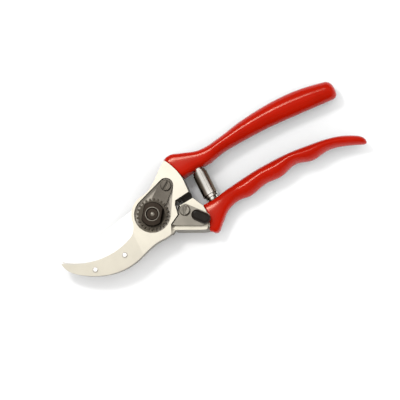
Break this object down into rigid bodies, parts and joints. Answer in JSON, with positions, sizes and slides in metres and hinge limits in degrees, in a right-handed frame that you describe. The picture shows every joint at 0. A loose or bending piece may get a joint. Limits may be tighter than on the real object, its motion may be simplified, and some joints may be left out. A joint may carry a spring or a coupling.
{
  "type": "bypass pruning shears",
  "caption": "Bypass pruning shears with forged cream handles, red vinyl grips, a riveted counter blade, a toothed pivot nut, a thumb catch and a volute spring.",
  "frame": {"origin": "on the pivot axis, in the outer face of the pivot bolt's head, which is the lowest plane", "axes": "+Z along the pivot towards the toothed nut, +X from the hook to the handle ends, +Y to the hook handle's grip"},
  "size_m": [0.2148, 0.0635, 0.0204],
  "materials": {
    "cream_lacquer": "satin",
    "polished_steel": "polished",
    "ground_steel": "satin",
    "grey_steel": "satin",
    "dark_steel": "satin",
    "rivet_steel": "polished",
    "spring_chrome": "polished",
    "red_vinyl": "gloss",
    "black_plastic": "gloss",
    "black_rubber": "matte"
  },
  "bodies": {
    "hook_side": {"hook_handle": "cream_lacquer", "counter_blade": "ground_steel", "rivet_tip": "rivet_steel", "rivet_heel": "rivet_steel", "hook_handle_grip": "red_vinyl", "pivot_bolt": "dark_steel", "pivot_nut": "dark_steel", "lock_segment": "grey_steel", "segment_screw": "grey_steel", "bumper_cushion": "black_rubber", "volute_spring": "spring_chrome"},
    "blade_side": {"blade_handle": "cream_lacquer", "blade_handle_grip": "red_vinyl", "cutting_blade": "polished_steel", "catch_screw": "grey_steel", "catch_spring_washer": "grey_steel"},
    "catch": {"thumb_catch": "grey_steel", "catch_tab": "black_plastic"}
  },
  "joints": [
    {"name": "handle_pivot", "type": "hinge", "parent": "hook_side", "child": "blade_side", "pos_m": [0, 0, 0], "axis": [0, 0, -1], "range_deg": [0, 28], "deforming": ["volute_spring"]},
    {"name": "catch_pivot", "type": "hinge", "parent": "blade_side", "child": "catch", "pos_m": [0.0201, -0.0074, 0], "axis": [0, 0, 1], "range_deg": [0, 33]}
  ],
  "couplings": [
    {"joint": "catch_pivot", "follows": "handle_pivot", "ratio": 1.15}
  ]
}
